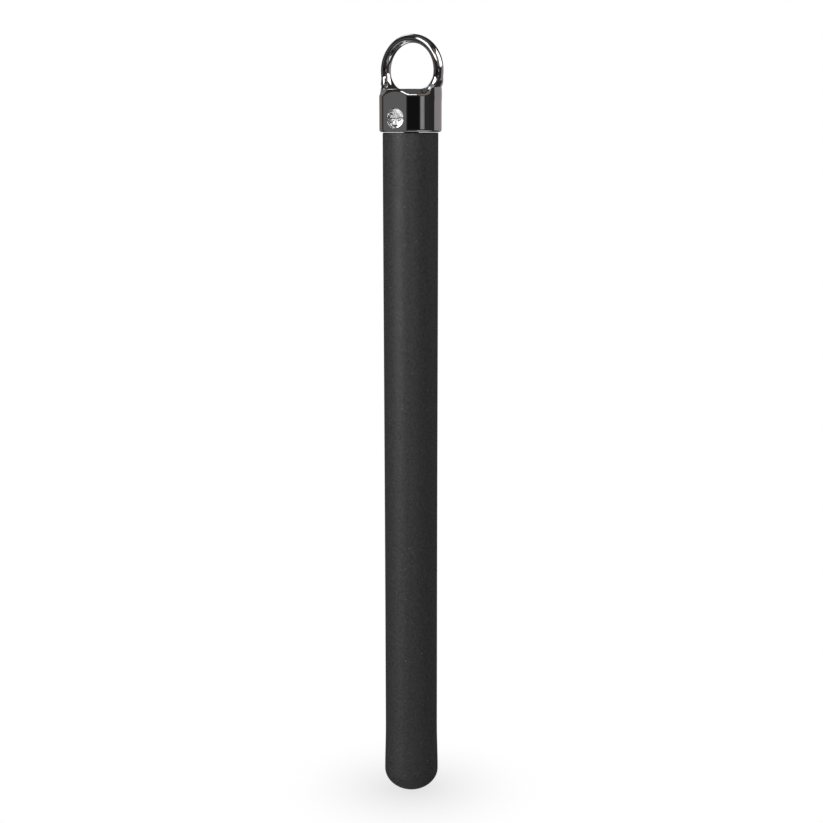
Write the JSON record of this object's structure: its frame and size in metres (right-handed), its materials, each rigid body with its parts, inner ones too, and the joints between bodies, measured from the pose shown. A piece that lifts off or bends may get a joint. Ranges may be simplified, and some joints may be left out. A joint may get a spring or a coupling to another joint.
{
  "type": "ring-topped hand stick",
  "caption": "Slim round stick with a soft black sleeve, domed tip, and a chrome screw-on cap cast with a ring eye and set with a clear stone.",
  "frame": {"origin": "lowest point of the domed tip, on the stick's axis", "axes": "+Z along the stick from the tip to the ring; Y along the eye's axis, with the stone's flat facing -Y and the plain flat facing +Y; X across the ring"},
  "size_m": [0.0128, 0.0109, 0.1417],
  "materials": {
    "sleeve": "matte moulded soft touch, fine grain",
    "plug": "natural nylon",
    "core": "drawn",
    "bush": "turned",
    "stud": "zinc plated",
    "seal": "matte",
    "cap": "mirror polished",
    "stone": "cut and polished",
    "foil": "bright"
  },
  "bodies": {
    "stick": {"grip_sleeve": "sleeve", "tip_plug": "plug", "core_tube": "core", "threaded_bush": "bush", "threaded_stud": "stud"},
    "seal": {"seal_ring": "seal"},
    "cap": {"ring_cap": "cap", "stone": "stone", "stone_cup": "foil"}
  },
  "joints": [
    {"name": "cap_turn", "type": "hinge", "parent": "stick", "child": "seal", "pos_m": [0, 0, 0.1246], "axis": [0, 0, 1], "range_deg": [0, 3330]},
    {"name": "cap_lift", "type": "slide", "parent": "seal", "child": "cap", "axis": [0, 0, 1], "range_m": [0, 0.0047]}
  ],
  "couplings": [
    {"joint": "cap_lift", "follows": "cap_turn", "m_per_rad": 0.000079577}
  ]
}
